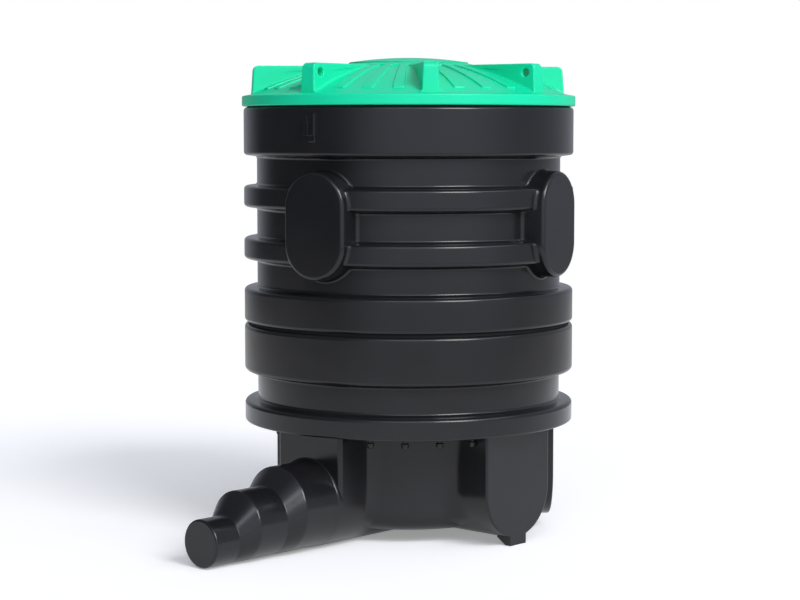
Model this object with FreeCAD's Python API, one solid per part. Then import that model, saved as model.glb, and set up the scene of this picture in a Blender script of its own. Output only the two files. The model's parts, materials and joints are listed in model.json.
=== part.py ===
import FreeCAD
import Part
import math
import os

# Distribution chamber of rotationally moulded plastic: a base with channel arms and a stepped outlet,
# a ribbed neck that stands on the base, and a lift-off lid.
# Millimetres, +Z up. The origin is on the shaft's axis, at the level of the feet.
# The outlet points along -Y, and azimuths are degrees from the outlet, counted towards +X.

V = FreeCAD.Vector
ORIGIN = V(0, 0, 0)
UP = V(0, 0, 1)
OUTWARD = V(0, -1, 0)

# Moulded walls of the base and the neck
WALL = 9.0
EDGE_ROUND = 9.0
ROOT_ROUND = 7.0
FLANGE_FOOT_ROUND = 6.0
SHOULDER_SLOPE = 4.0

# Radius of the shaft over its rings, and steps inwards from it to the barrel and to the mouth
RING_R = 400.0
RING_DEPTH = 31.5
SEAT_WIDTH = 52.0

# Heights of the shaft, one on top of the other
FLANGE_Z = 270.0
FLANGE_H = 49.0
BASE_WALL_H = 75.0
BASE_COLLAR_H = 112.0
JOINT_GAP = 6.0
NECK_FOOT_H = 81.0
LOWER_WALL_H = 72.0
RIB_H = 49.0
MIDDLE_WALL_H = 76.0
UPPER_WALL_H = 75.0
COLLAR_H = 114.0

# Joint between the base and the neck
LIP_DEPTH = 40.0
LIP_CLEARANCE = 1.0

# Flat oblong pads on the neck, over both ribs
PAD_COUNT = 3
PAD_AZIMUTH = 10.9
PAD_SPACING = 90.0
PAD_WIDTH = 160.0
PAD_OVERLAP = 36.0
PAD_LIFT = 2.5
PAD_PROUD = 15.0
PAD_DRAFT = 0.05
PAD_ROUND = 9.0

# Lug on the collar
LUG_AZIMUTH = 9.0
LUG_WIDTH = 34.0
LUG_HEIGHT = 48.0
LUG_PROUD = 8.0
LUG_HOLE_R = 6.0
LUG_DROP = 20.0

# Channels under the flange, set back from the rings; the diagonal inlets are shorter and higher
DRUM_SETBACK = 142.0
DRUM_Z = 32.0
DRUM_ROUND = 40.0
OUTLET_SETBACK = 54.0
OUTLET_ROUND = 9.0
INLET_SETBACK = 50.0
INLET_ROUND = 5.0
INLET_MARGIN = 14.0
INLET_INVERT = 17.0
DIAGONAL_SETBACK = 54.0
DIAGONAL_LIFT = 12.0
FOOT_WIDTH = 58.0
FOOT_LENGTH = 40.0
FOOT_SOLE = 14.0

# Stepped outlet, each step a pipe size, from the chamber outwards, all a little above the ground
SPIGOT_LIFT = 2.0
PIPE_R = (100.0, 80.0, 55.0)
PIPE_RUN = (103.0, 83.0, 70.0)
SHOULDER_RUN = 42.0
PIPE_END_ROUND = 4.0
TAIL_STEP = 2.0

# Lid
LID_GAP = 2.0
LID_WALL = 7.0
LID_OVERHANG = 4.0
LID_RIM_H = 24.5
LAND_WIDTH = 26.0
LAND_RISE = 5.0
DOME_RISE = 80.5
PLUG_DEPTH = 25.0
PLUG_CLEARANCE = 6.0
CAP_R = 144.0
CAP_PROUD = 7.0
APRON_WIDTH = 28.0
FIN_COUNT = 8
FIN_AZIMUTH = 50.0
FIN_SETBACK = 22.5
FIN_TOP_DROP = 13.0
FIN_WIDTH = 43.0
FIN_TOP_WIDTH = 35.0
FIN_END_LEAN = 4.5
FIN_ROUND = 12.0
FIN_HOLE_R = 9.5
FIN_HOLE_INSET = 28.0
FIN_HOLE_DROP = 21.0
FINS_PER_HOLE = 2
STRIPS_PER_BAY = 3
STRIP_SETBACK = 20.0
STRIP_IN_WIDTH = 17.0
STRIP_OUT_WIDTH = 26.0
STRIP_PROUD = 4.0

# Radii and levels that follow from the sizes above
BARREL_R = RING_R - RING_DEPTH
MOUTH_R = RING_R - SEAT_WIDTH
DRUM_R = RING_R - DRUM_SETBACK
OUTLET_REACH = RING_R - OUTLET_SETBACK
INLET_HALF = PIPE_R[0] + INLET_MARGIN
LID_R = RING_R + LID_OVERHANG
DOME_FOOT_R = LID_R - LAND_WIDTH
FIN_REACH = LID_R - FIN_SETBACK
STRIP_IN_R = CAP_R + APRON_WIDTH
STRIP_OUT_R = DOME_FOOT_R - STRIP_SETBACK
BASE_WALL_Z = FLANGE_Z + FLANGE_H
BASE_COLLAR_Z = BASE_WALL_Z + BASE_WALL_H
BASE_TOP_Z = BASE_COLLAR_Z + BASE_COLLAR_H
NECK_Z = BASE_TOP_Z + JOINT_GAP
LOWER_WALL_Z = NECK_Z + NECK_FOOT_H
LOWER_RIB_Z = LOWER_WALL_Z + LOWER_WALL_H
MIDDLE_WALL_Z = LOWER_RIB_Z + RIB_H
UPPER_RIB_Z = MIDDLE_WALL_Z + MIDDLE_WALL_H
UPPER_WALL_Z = UPPER_RIB_Z + RIB_H
COLLAR_Z = UPPER_WALL_Z + UPPER_WALL_H
NECK_TOP_Z = COLLAR_Z + COLLAR_H
LID_Z = NECK_TOP_Z + LID_GAP
LID_RIM_Z = LID_Z + LID_RIM_H
DOME_FOOT_Z = LID_RIM_Z + LAND_RISE
DOME_TOP_Z = DOME_FOOT_Z + DOME_RISE
DOME_SPHERE_R = (DOME_FOOT_R ** 2 + DOME_RISE ** 2) / (2 * DOME_RISE)
FIN_TOP_Z = DOME_TOP_Z - FIN_TOP_DROP
PAD_Z = (MIDDLE_WALL_Z + UPPER_RIB_Z) / 2 + PAD_LIFT
PAD_HEIGHT = UPPER_WALL_Z - LOWER_RIB_Z + 2 * PAD_OVERLAP
PAD_FACE = RING_R + PAD_PROUD
LIP_R = MOUTH_R - LIP_CLEARANCE
PLUG_R = MOUTH_R - PLUG_CLEARANCE
FAR = 2 * RING_R
RING_REACH = SHOULDER_SLOPE + EDGE_ROUND + ROOT_ROUND
SEAT_BAND = WALL + ROOT_ROUND

# Arms as half width, invert, reach and rounding of the end, and the azimuth of each
OUTLET_ARM = (PIPE_R[0] + SPIGOT_LIFT, 0.0, OUTLET_REACH, OUTLET_ROUND)
FOOTED_ARM = (INLET_HALF, INLET_INVERT, RING_R - INLET_SETBACK, INLET_ROUND)
DIAGONAL_ARM = (INLET_HALF, INLET_INVERT + DIAGONAL_LIFT, RING_R - DIAGONAL_SETBACK, INLET_ROUND)
ARMS = (
    (0, OUTLET_ARM),
    (90, FOOTED_ARM),
    (135, DIAGONAL_ARM),
    (180, FOOTED_ARM),
    (225, DIAGONAL_ARM),
    (270, FOOTED_ARM),
)


def turned(shape, azimuth):
    """Copy of a shape made along the outlet, turned to an azimuth."""
    copy = shape.copy()
    copy.rotate(ORIGIN, UP, azimuth)
    return copy


def cylinder(radius, low, high):
    """Round solid about the shaft's axis, between two heights."""
    return Part.makeCylinder(radius, high - low, V(0, 0, low), UP)


def slab(shape, low, high):
    """The stretch of a shape between two heights."""
    return shape.common(cylinder(FAR, low, high))


def rounded_wire(points, radii):
    """Closed wire through the points, with an arc of its own radius at each corner."""
    edges = []
    first = None
    last = None
    for i, corner in enumerate(points):
        back = (points[i - 1] - corner).normalize()
        ahead = (points[(i + 1) % len(points)] - corner).normalize()
        half = back.getAngle(ahead) / 2
        run = radii[i] / math.tan(half)
        start = corner + back * run
        end = corner + ahead * run
        if last is not None and last.distanceToPoint(start) > 1e-6:
            edges.append(Part.LineSegment(last, start).toShape())
        if radii[i] > 0:
            middle = (back + ahead).normalize() * (radii[i] / math.sin(half) - radii[i])
            edges.append(Part.Arc(start, corner + middle, end).toShape())
        if first is None:
            first = start
        last = end
    if last.distanceToPoint(first) > 1e-6:
        edges.append(Part.LineSegment(last, first).toShape())
    return Part.Wire(edges)


def turns_inward(path, i):
    """True where an upward path of (radius, height) points bends towards the axis."""
    (r0, z0), (r1, z1), (r2, z2) = path[i - 1], path[i], path[i + 1]
    return (r1 - r0) * (z2 - z1) - (z1 - z0) * (r2 - r1) > 0


def inset_path(path, depth):
    """The path moved to its inner side by a wall's thickness, with mitred corners."""
    moved = []
    for i, (r, z) in enumerate(path):
        normals = []
        for j in (i - 1, i):
            if 0 <= j < len(path) - 1:
                step = V(path[j + 1][0] - path[j][0], path[j + 1][1] - path[j][1], 0).normalize()
                normals.append(V(-step.y, step.x, 0))
        push = (normals[0] + normals[-1]) * (depth / (1 + normals[0].dot(normals[-1])))
        moved.append((r + push.x, z + push.y))
    return moved


def moulded_ring(path, first_round=0.0):
    """Shell of one wall's thickness under a path, turned about the shaft's axis."""
    inner = inset_path(path, WALL)
    radii = [first_round]
    for i in range(1, len(path) - 1):
        radii.append(EDGE_ROUND if turns_inward(path, i) else ROOT_ROUND)
    radii += [0.0] * (len(inner) + 1)
    points = [V(r, 0, z) for r, z in path + inner[::-1]]
    return Part.Face(rounded_wire(points, radii)).revolve(ORIGIN, UP, 360)


def base_shell():
    """Flange, wall and collar of the base in one moulded ring."""
    path = [
        (RING_R, FLANGE_Z),
        (RING_R, BASE_WALL_Z),
        (BARREL_R, BASE_WALL_Z + SHOULDER_SLOPE),
        (BARREL_R, BASE_COLLAR_Z - SHOULDER_SLOPE),
        (RING_R, BASE_COLLAR_Z),
        (RING_R, BASE_TOP_Z),
        (MOUTH_R, BASE_TOP_Z),
    ]
    return moulded_ring(path, first_round=FLANGE_FOOT_ROUND)


def neck_shell():
    """Foot, walls, ribs and collar of the neck in one moulded ring, with a lip into the base."""
    path = [(LIP_R, BASE_TOP_Z - LIP_DEPTH), (LIP_R, NECK_Z), (RING_R, NECK_Z)]
    for ring_top, next_ring in (
        (LOWER_WALL_Z, LOWER_RIB_Z),
        (MIDDLE_WALL_Z, UPPER_RIB_Z),
        (UPPER_WALL_Z, COLLAR_Z),
    ):
        path += [
            (RING_R, ring_top),
            (BARREL_R, ring_top + SHOULDER_SLOPE),
            (BARREL_R, next_ring - SHOULDER_SLOPE),
            (RING_R, next_ring),
        ]
    path += [(RING_R, NECK_TOP_Z), (MOUTH_R, NECK_TOP_Z)]
    return moulded_ring(path)


def flat_ring(inner_r, outer_r, low, high):
    """Plain flat ring, such as a seal."""
    return cylinder(outer_r, low, high).cut(cylinder(inner_r, low, high))


def oblong(distance, shrink):
    """Upright oblong outline of a pad, at a distance from the axis along the outlet's direction."""
    half_w = PAD_WIDTH / 2 - shrink
    half_h = PAD_HEIGHT / 2 - shrink
    corners = [(-half_w, -half_h), (half_w, -half_h), (half_w, half_h), (-half_w, half_h)]
    points = [V(x, -distance, PAD_Z + z) for x, z in corners]
    return rounded_wire(points, [half_w] * len(points))


def pad_block(face, shrink):
    """Drafted block of a pad, from inside the shaft to its flat face."""
    root = BARREL_R - PAD_WIDTH / 2
    spread = (face - root) * PAD_DRAFT
    return Part.makeLoft([oblong(root, shrink - spread), oblong(face, shrink)], True, True)


def pad_outside():
    """A pad's drafted block with its face rounded off."""
    block = pad_block(PAD_FACE, 0.0)
    rim = [e for e in block.Edges if all(abs(v.Y + PAD_FACE) < 1e-6 for v in e.Vertexes)]
    return block.makeFillet(PAD_ROUND, rim)


def side_pad(outside):
    """Hollow pad, open to the shaft."""
    hollow = pad_block(PAD_FACE - WALL, WALL)
    return outside.cut(hollow.fuse(cylinder(BARREL_R - WALL, LOWER_WALL_Z, COLLAR_Z)))


def collar_lug():
    """Small eye plate on the collar, with a hole through it down to the collar's wall."""
    low = NECK_TOP_Z - LUG_DROP - LUG_HEIGHT
    corner = V(-LUG_WIDTH / 2, -RING_R - LUG_PROUD, low)
    plate = Part.makeBox(LUG_WIDTH, LUG_PROUD + WALL, LUG_HEIGHT, corner)
    hole = Part.makeCylinder(LUG_HOLE_R, FAR, V(0, 0, low + LUG_HEIGHT / 2), OUTWARD)
    return plate.cut(hole).cut(cylinder(RING_R, COLLAR_Z, NECK_TOP_Z))


def channel_arm(arm, shrink, top):
    """U-shaped bar from the axis outwards, its round bottom at the invert."""
    full_half, invert, reach, _ = arm
    half = full_half - shrink
    centre = invert + full_half
    left, right = V(-half, 0, centre), V(half, 0, centre)
    top_left, top_right = V(-half, 0, top), V(half, 0, top)
    section = Part.Wire([
        Part.LineSegment(top_left, left).toShape(),
        Part.Arc(left, V(0, 0, centre - half), right).toShape(),
        Part.LineSegment(right, top_right).toShape(),
        Part.LineSegment(top_right, top_left).toShape(),
    ])
    return Part.Face(section).extrude(OUTWARD * (reach - shrink))


def channel_drum(shrink, top):
    """Round well in the middle, with a rounded bottom edge."""
    well = cylinder(DRUM_R - shrink, DRUM_Z + shrink, top)
    bottom = [e for e in well.Edges if all(abs(v.Z - DRUM_Z - shrink) < 1e-6 for v in e.Vertexes)]
    bottom = [e for e in bottom if e.BoundBox.ZLength < 1e-6]
    return well.makeFillet(DRUM_ROUND - shrink, bottom)


def arm_with_rounded_end(arm):
    """Outside of an arm, with the edge round its end face rounded off."""
    _, _, reach, end_round = arm
    bar = channel_arm(arm, 0.0, FLANGE_Z)
    rim = [e for e in bar.Edges if all(abs(v.Y + reach) < 1e-6 for v in e.Vertexes)]
    rim = [e for e in rim if e.BoundBox.ZMin < FLANGE_Z - 1e-6]
    return bar.makeFillet(end_round, rim)


def arm_foot(arm):
    """Heel under the end of an arm, with a short sole on the ground and a slope up to the arm's belly."""
    half, invert, reach, _ = arm
    side = [
        V(0, -reach, 0),
        V(0, -reach + FOOT_SOLE, 0),
        V(0, -reach + FOOT_LENGTH, invert),
        V(0, -reach + FOOT_LENGTH, invert + half),
        V(0, -reach, invert + half),
    ]
    heel = Part.Face(Part.makePolygon(side + side[:1])).extrude(V(FOOT_WIDTH, 0, 0))
    heel.translate(V(-FOOT_WIDTH / 2, 0, 0))
    return heel


def sector(low, high):
    """Slice of the space under the flange between two azimuths."""
    spread = math.radians(high - low) / 2
    side = FAR * math.tan(spread)
    corners = [V(0, 0, 0), V(-side, -FAR, 0), V(side, -FAR, 0), V(0, 0, 0)]
    return turned(Part.Face(Part.makePolygon(corners)).extrude(UP * FLANGE_Z), (low + high) / 2)


def channel_hollow():
    """Free space inside the channels, up through the shelf above them."""
    top = FLANGE_Z + 2 * WALL
    return channel_drum(WALL, top).multiFuse([turned(channel_arm(arm, WALL, top), a) for a, arm in ARMS])


def channel_shell(hollow):
    """Drum, arms and feet in one moulded shell under the flange."""
    blocks = [turned(arm_with_rounded_end(arm), azimuth) for azimuth, arm in ARMS]
    blocks += [turned(arm_foot(arm), azimuth) for azimuth, arm in ARMS if arm is FOOTED_ARM]
    return channel_drum(0.0, FLANGE_Z).multiFuse(blocks).cut(hollow)


def pipe_circle(radius, distance, shrink):
    """Round outline of the outlet at a distance from the axis, all of them on one invert."""
    circle = Part.Circle(V(0, -distance, SPIGOT_LIFT + radius), OUTWARD, radius - shrink)
    return Part.Wire([circle.toShape()])


def pipe_bar(radius, start, end, shrink):
    """Straight round bar of the outlet between two distances from the axis."""
    return Part.Face(pipe_circle(radius, start, shrink)).extrude(OUTWARD * (end - start))


def shoulder(i, start, shrink):
    """Sloping cone from one pipe size of the outlet down to the next."""
    near = pipe_circle(PIPE_R[i], start, shrink)
    far = pipe_circle(PIPE_R[i + 1], start + SHOULDER_RUN, shrink)
    return Part.makeLoft([near, far], True, True)


def spigot_tail(shrink):
    """Bar as long as the arm's end wall is thick, on the axis of the largest pipe."""
    return pipe_bar(PIPE_R[0], OUTLET_REACH - WALL, OUTLET_REACH, shrink)


def outlet_spigot():
    """The steps of the outlet as pipes, from the one with a tail in the arm's end wall to the closed end."""
    steps = []
    start = OUTLET_REACH
    end = start + PIPE_RUN[0]
    for i, radius in enumerate(PIPE_R[:-1]):
        outside, inside = [pipe_bar(radius, start, end, s).fuse(shoulder(i, end, s)) for s in (0.0, WALL)]
        steps.append(outside.cut(inside))
        start = end + SHOULDER_RUN
        end = start + PIPE_RUN[i + 1]
    steps[0] = steps[0].fuse(spigot_tail(TAIL_STEP).cut(spigot_tail(WALL)))
    tip = pipe_bar(PIPE_R[-1], start, end, 0.0)
    rim = [e for e in tip.Edges if e.BoundBox.YMax < -end + 1e-3]
    return steps + [tip.makeFillet(PIPE_END_ROUND, rim).cut(pipe_bar(PIPE_R[-1], start, end - WALL, WALL))]


def dome_height(radius, depth=0.0):
    """Height of the lid's dome at a radius, or of a surface at a depth under it."""
    centre = DOME_TOP_Z - DOME_SPHERE_R
    return centre + math.sqrt((DOME_SPHERE_R - depth) ** 2 - radius ** 2)


def dome_arc(inner_r, outer_r, depth):
    """Arc of the dome's section between two radii."""
    radii = (outer_r, (inner_r + outer_r) / 2, inner_r)
    return Part.Arc(*[V(r, 0, dome_height(r, depth)) for r in radii]).toShape()


def dome_band(inner_r, outer_r, lower_depth, upper_depth):
    """Solid between two surfaces that follow the dome, turned about the axis."""
    lower = dome_arc(inner_r, outer_r, lower_depth)
    upper = dome_arc(inner_r, outer_r, upper_depth)
    edges = [lower, upper]
    for r in (inner_r, outer_r):
        ends = [V(r, 0, dome_height(r, d)) for d in (lower_depth, upper_depth)]
        edges.append(Part.LineSegment(*ends).toShape())
    return Part.Face(Part.Wire(Part.__sortEdges__(edges))).revolve(ORIGIN, UP, 360)


def lid_rim():
    """Plug, seat, band and sloping land of the lid in one ring."""
    corners = [
        (PLUG_R - LID_WALL, NECK_TOP_Z - PLUG_DEPTH),
        (PLUG_R, NECK_TOP_Z - PLUG_DEPTH),
        (PLUG_R, LID_Z),
        (LID_R, LID_Z),
        (LID_R, LID_RIM_Z),
        (DOME_FOOT_R, DOME_FOOT_Z),
        (DOME_FOOT_R, dome_height(DOME_FOOT_R, LID_WALL)),
        (LID_R - LID_WALL, LID_RIM_Z - LID_WALL),
        (LID_R - LID_WALL, LID_Z + LID_WALL),
        (PLUG_R - LID_WALL, LID_Z + LID_WALL),
    ]
    radii = [0.0] * len(corners)
    radii[3] = radii[4] = LID_WALL / 2
    wire = rounded_wire([V(r, 0, z) for r, z in corners], radii)
    return Part.Face(wire).revolve(ORIGIN, UP, 360)


def lid_top_solid():
    """Everything under the dome and the land, to trim what stands on the lid."""
    corners = [V(0, 0, LID_Z), V(LID_R, 0, LID_Z), V(LID_R, 0, LID_RIM_Z), V(DOME_FOOT_R, 0, DOME_FOOT_Z)]
    edges = [Part.LineSegment(a, b).toShape() for a, b in zip(corners, corners[1:])]
    edges.append(dome_arc(0.0, DOME_FOOT_R, 0.0))
    edges.append(Part.LineSegment(V(0, 0, DOME_TOP_Z), corners[0]).toShape())
    return Part.Face(Part.Wire(edges)).revolve(ORIGIN, UP, 360)


def lid_fin(lid_top):
    """Upright fin along the outlet's direction, from the apron outwards, trimmed to the dome."""
    low = LID_RIM_Z
    side = [
        V(0, -STRIP_IN_R, low),
        V(0, -FIN_REACH, low),
        V(0, -FIN_REACH + FIN_END_LEAN, FIN_TOP_Z),
        V(0, -STRIP_IN_R, FIN_TOP_Z),
    ]
    blade = Part.Face(rounded_wire(side, [0.0, 0.0, FIN_ROUND, 0.0])).extrude(V(FIN_WIDTH, 0, 0))
    blade.translate(V(-FIN_WIDTH / 2, 0, 0))
    half, half_top = FIN_WIDTH / 2, FIN_TOP_WIDTH / 2
    draft = Part.makePolygon([V(-half, 0, low), V(half, 0, low), V(half_top, 0, FIN_TOP_Z),
                              V(-half_top, 0, FIN_TOP_Z), V(-half, 0, low)])
    blade = blade.common(Part.Face(draft).extrude(OUTWARD * LID_R))
    return blade.cut(lid_top).cut(cylinder(STRIP_IN_R, LID_RIM_Z, DOME_TOP_Z))


def fin_hole():
    """Round bar to cut the hole through a fin near its outer end."""
    place = V(-FIN_WIDTH / 2, -FIN_REACH + FIN_HOLE_INSET, FIN_TOP_Z - FIN_HOLE_DROP)
    return Part.makeCylinder(FIN_HOLE_R, FIN_WIDTH, place, V(1, 0, 0))


def lid_cap():
    """Round cap in the middle of the dome, with a lower apron round it at the level of the strips."""
    apron = dome_band(CAP_R, STRIP_IN_R, 0.0, -STRIP_PROUD)
    return dome_band(0.0, CAP_R, 0.0, -CAP_PROUD).fuse(apron)


def lid_strips():
    """Raised strips between the fins, as separate pads on the dome that widen outwards."""
    band = dome_band(STRIP_IN_R, STRIP_OUT_R, 0.0, -STRIP_PROUD)
    widening = (STRIP_OUT_WIDTH - STRIP_IN_WIDTH) / (STRIP_OUT_R - STRIP_IN_R) / 2
    half_at_axis = STRIP_IN_WIDTH / 2 - widening * STRIP_IN_R
    half_at_rim = STRIP_IN_WIDTH / 2 + widening * (LID_R - STRIP_IN_R)
    outline = Part.makePolygon([
        V(-half_at_axis, 0, LID_Z), V(half_at_axis, 0, LID_Z),
        V(half_at_rim, -LID_R, LID_Z), V(-half_at_rim, -LID_R, LID_Z), V(-half_at_axis, 0, LID_Z),
    ])
    strip = band.common(Part.Face(outline).extrude(UP * LID_R))
    pitch = 360 / FIN_COUNT / (STRIPS_PER_BAY + 1)
    places = [bay * (STRIPS_PER_BAY + 1) + i for bay in range(FIN_COUNT) for i in range(1, STRIPS_PER_BAY + 1)]
    return Part.makeCompound([turned(strip, FIN_AZIMUTH + place * pitch) for place in places])


def neck_nodes(nodes):
    """Lip, sole, foot, walls, ribs, collar, seat, pads and lug of the neck."""
    shell = neck_shell()
    outside = pad_outside()
    azimuths = [PAD_AZIMUTH + k * PAD_SPACING for k in range(PAD_COUNT)]
    walls = shell.cut([turned(outside, a) for a in azimuths])
    nodes["neck_lip"] = slab(walls, 0, NECK_Z - SEAT_BAND)
    nodes["neck_sole"] = slab(walls, NECK_Z - SEAT_BAND, NECK_Z + SEAT_BAND)
    nodes["neck_foot"] = slab(walls, NECK_Z + SEAT_BAND, LOWER_WALL_Z + RING_REACH)
    nodes["neck_wall_lower"] = slab(walls, LOWER_WALL_Z + RING_REACH, LOWER_RIB_Z - RING_REACH)
    nodes["neck_rib_lower"] = slab(walls, LOWER_RIB_Z - RING_REACH, MIDDLE_WALL_Z + RING_REACH)
    nodes["neck_wall_middle"] = slab(walls, MIDDLE_WALL_Z + RING_REACH, UPPER_RIB_Z - RING_REACH)
    nodes["neck_rib_upper"] = slab(walls, UPPER_RIB_Z - RING_REACH, UPPER_WALL_Z + RING_REACH)
    nodes["neck_wall_upper"] = slab(walls, UPPER_WALL_Z + RING_REACH, COLLAR_Z - RING_REACH)
    nodes["neck_collar"] = slab(walls, COLLAR_Z - RING_REACH, NECK_TOP_Z - SEAT_BAND)
    nodes["neck_seat"] = slab(walls, NECK_TOP_Z - SEAT_BAND, NECK_TOP_Z)
    pad = side_pad(outside)
    for k, azimuth in enumerate(azimuths):
        nodes["side_pad_%d" % (k + 1)] = turned(pad, azimuth)
    nodes["collar_lug"] = turned(collar_lug(), LUG_AZIMUTH)


def base_nodes(nodes):
    """Flange, wall, collar and seat of the base, the shelf inside it and the channels under it."""
    shell = base_shell()
    nodes["base_flange"] = slab(shell, FLANGE_Z, BASE_WALL_Z + RING_REACH)
    nodes["base_wall"] = slab(shell, BASE_WALL_Z + RING_REACH, BASE_COLLAR_Z - RING_REACH)
    nodes["base_collar"] = slab(shell, BASE_COLLAR_Z - RING_REACH, BASE_TOP_Z - SEAT_BAND)
    nodes["base_seat"] = slab(shell, BASE_TOP_Z - SEAT_BAND, BASE_TOP_Z)
    hollow = channel_hollow()
    nodes["base_shelf"] = cylinder(RING_R - WALL, FLANGE_Z, FLANGE_Z + WALL).cut(hollow)
    channels = channel_shell(hollow)
    drum_space = cylinder(DRUM_R, -WALL, FLANGE_Z)
    nodes["channel_drum"] = channels.common(drum_space)
    arms = channels.cut(drum_space)
    azimuths = [azimuth for azimuth, _ in ARMS] + [360]
    middles = [(a + b) / 2 for a, b in zip(azimuths, azimuths[1:])]
    nodes["outlet_arm"] = arms.common(sector(middles[-1] - 360, middles[0])).cut(spigot_tail(TAIL_STEP))
    for k, (low, high) in enumerate(zip(middles, middles[1:])):
        nodes["inlet_arm_%d" % (k + 1)] = arms.common(sector(low, high))
    for radius, step in zip(PIPE_R, outlet_spigot()):
        nodes["outlet_pipe_%d" % round(2 * radius)] = step


def seal_nodes(nodes):
    """Rubber rings under the neck and under the lid."""
    inner = MOUTH_R + ROOT_ROUND
    outer = RING_R - EDGE_ROUND
    nodes["joint_seal"] = flat_ring(inner, outer, BASE_TOP_Z, NECK_Z)
    nodes["lid_seal"] = flat_ring(inner, outer, NECK_TOP_Z, LID_Z)


def lid_nodes(nodes):
    """Plug, rim, dome, cap, fins and strips of the lid."""
    rim = lid_rim()
    nodes["lid_plug"] = slab(rim, 0, LID_Z - LID_WALL)
    nodes["lid_rim"] = slab(rim, LID_Z - LID_WALL, DOME_TOP_Z)
    nodes["lid_dome"] = dome_band(0.0, DOME_FOOT_R, LID_WALL, 0.0)
    nodes["lid_cap"] = lid_cap()
    fin = lid_fin(lid_top_solid())
    pierced = fin.cut(fin_hole())
    for k in range(1, FIN_COUNT + 1):
        shape = fin if k % FINS_PER_HOLE else pierced
        nodes["lid_fin_%d" % k] = turned(shape, FIN_AZIMUTH + (k - 1) * 360 / FIN_COUNT)
    nodes["lid_strips"] = lid_strips()


def main():
    """Builds every node and writes it to its own file."""
    nodes = {}
    base_nodes(nodes)
    neck_nodes(nodes)
    seal_nodes(nodes)
    lid_nodes(nodes)
    os.makedirs("parts", exist_ok=True)
    for name, shape in nodes.items():
        shape.exportStep(os.path.join("parts", name + ".step"))
        litres = sum(s.Volume for s in shape.Solids) / 1e6
        print("%-18s %2d solids %8.3f litres valid %s" % (name, len(shape.Solids), litres, shape.isValid()))


main()
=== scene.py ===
# %% [markdown]
# # A distribution chamber, dressed in Blender
# The chamber is a round plastic shaft for drains: a base with channel arms and a stepped outlet, a
# ribbed neck and a green lid. Its solids are already built and packed, and this lesson loads them
# as a fixed frame. Everything below is in metres, with +Z up, the shaft's axis through the origin
# and the outlet along -Y.

# %% The frame
import json
import math

import bmesh
import bpy
import numpy as np
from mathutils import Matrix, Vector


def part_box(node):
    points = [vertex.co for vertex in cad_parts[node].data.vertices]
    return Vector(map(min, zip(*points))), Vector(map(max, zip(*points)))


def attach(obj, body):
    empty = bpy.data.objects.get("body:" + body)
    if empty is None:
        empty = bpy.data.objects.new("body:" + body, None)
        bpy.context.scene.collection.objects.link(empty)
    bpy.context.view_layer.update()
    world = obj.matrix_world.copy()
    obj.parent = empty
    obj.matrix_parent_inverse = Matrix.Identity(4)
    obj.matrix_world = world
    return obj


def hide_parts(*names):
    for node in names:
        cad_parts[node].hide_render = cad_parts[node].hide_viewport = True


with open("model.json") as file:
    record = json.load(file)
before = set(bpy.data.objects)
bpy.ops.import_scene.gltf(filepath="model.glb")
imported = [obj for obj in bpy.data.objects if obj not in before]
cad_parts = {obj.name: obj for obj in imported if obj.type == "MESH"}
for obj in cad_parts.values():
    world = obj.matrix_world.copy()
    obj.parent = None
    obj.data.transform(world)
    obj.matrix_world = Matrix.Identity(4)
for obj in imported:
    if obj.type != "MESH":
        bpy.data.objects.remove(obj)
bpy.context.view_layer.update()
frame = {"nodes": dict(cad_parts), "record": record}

# %% [markdown]
# ## The camera
# The photograph is taken from about five metres away with a long lens, a little under the level of
# the lid. A camera can be placed by eye, but here it was worked out from the outlines of the rings,
# which all have one radius: their curve gives the height of the lens, and their width gives the
# distance.

# %% Camera
CAMERA_AZIMUTH = math.radians(42.4)
CAMERA_DISTANCE = 4.896
CAMERA_HEIGHT = 0.9785
CAMERA_PITCH = math.radians(4.909)
CAMERA_YAW = math.radians(0.243)
FOCAL_PIXELS, PICTURE_PIXELS = 2005.0, 800.0
SENSOR_WIDTH, FAR_CLIP = 36.0, 100.0


def outward(azimuth):
    """Unit vector in the floor's plane; azimuths are radians from the outlet, counted towards +X."""
    return np.array([math.sin(azimuth), -math.cos(azimuth), 0.0])


camera_data = bpy.data.cameras.new("camera")
camera_data.sensor_width = SENSOR_WIDTH
camera_data.lens = SENSOR_WIDTH * FOCAL_PIXELS / PICTURE_PIXELS
camera_data.clip_end = FAR_CLIP
camera = bpy.data.objects.new("camera", camera_data)
bpy.context.collection.objects.link(camera)
camera.location = CAMERA_DISTANCE * outward(CAMERA_AZIMUTH) + np.array([0.0, 0.0, CAMERA_HEIGHT])
camera.rotation_euler = (math.pi / 2 - CAMERA_PITCH, 0.0, CAMERA_AZIMUTH + CAMERA_YAW)
bpy.context.scene.camera = camera
bpy.context.scene.view_settings.view_transform = "Standard"
print("lens", round(camera_data.lens, 2), "mm")

# %% [markdown]
# ## Finishes
# The base and the neck are moulded in black polyethylene, the lid in green. Polyethylene is satin:
# its skin copies the blasted wall of the mould, so it has a fine grain, and the wall sinks and
# swells a little as it cools, which bends long reflections. Both come from noise on the object's
# own coordinates, so no picture is needed and the grain stays the same size on every piece.

# %% Moulded plastic
CLOUDS = dict(Scale=3.2, Detail=5.0, Roughness=0.6)
GRAIN = dict(Scale=900.0, Detail=2.0)
WAVES = dict(Scale=9.0, Detail=1.0)
GRAIN_BUMP = dict(Strength=0.10, Distance=0.0004)
WAVE_BUMP = dict(Strength=0.16, Distance=0.004)
TONE_SPAN = (0.35, 0.70)
SMOOTHER, ROUGHER = 0.05, 0.06


def add_node(tree, kind, place, **values):
    """New shader node at a place in the editor, with its sockets set by name."""
    node = tree.nodes.new(kind)
    node.location = place
    for key, value in values.items():
        node.inputs[key.replace("_", " ")].default_value = value
    return node


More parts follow.
